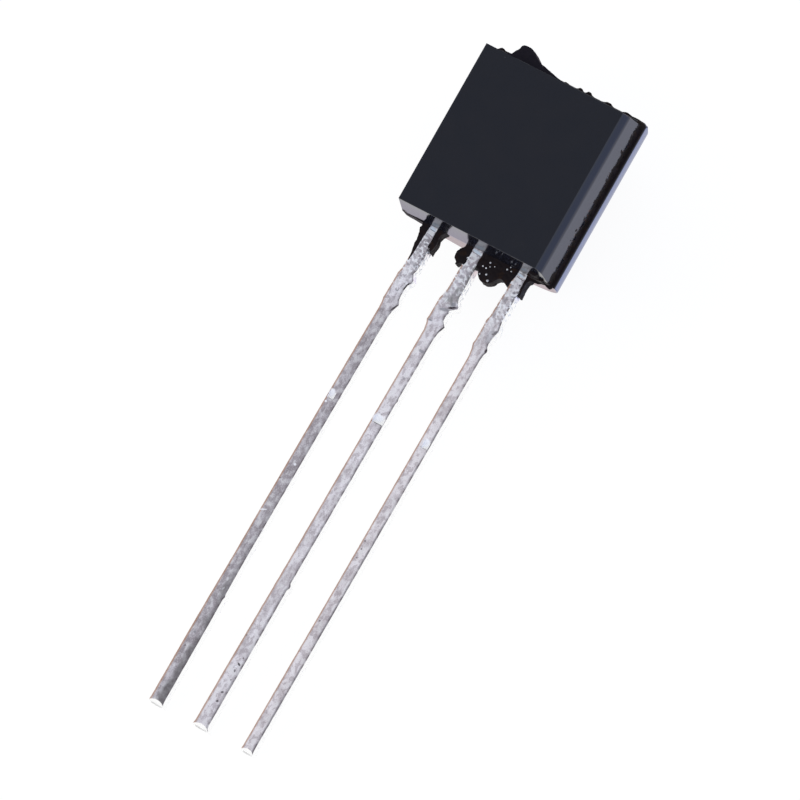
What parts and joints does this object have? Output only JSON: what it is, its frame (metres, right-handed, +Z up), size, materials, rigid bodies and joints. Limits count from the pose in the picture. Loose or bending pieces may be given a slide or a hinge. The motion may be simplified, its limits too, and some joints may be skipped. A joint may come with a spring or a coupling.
{
  "type": "to-92 transistor",
  "caption": "Small plastic-bodied signal transistor, flat on one side and round on the other, with a row of long leads, for switching and amplifying.",
  "frame": {"origin": "on the surface the transistor lies on, under the middle of its bounding box", "axes": "+X across the leads from the emitter's side to the base's, +Y along the part from the lead tips to the body's top, +Z up; the flat face looks up, tilted 8.7 degrees towards the lead tips, because the part rests on the lower edge of its round back and on its lead tips"},
  "size_m": [0.0044, 0.0176, 0.004],
  "materials": {
    "epoxy": "satin",
    "tinned_lead": "satin",
    "solder": "satin",
    "silicon": "polished",
    "gold_wire": "polished"
  },
  "bodies": {
    "root": {"body": "epoxy", "emitter_lead": "tinned_lead", "collector_lead": "tinned_lead", "base_lead": "tinned_lead", "die_solder": "solder", "silicon_die": "silicon", "emitter_bond_wire": "gold_wire", "base_bond_wire": "gold_wire"}
  },
  "joints": []
}
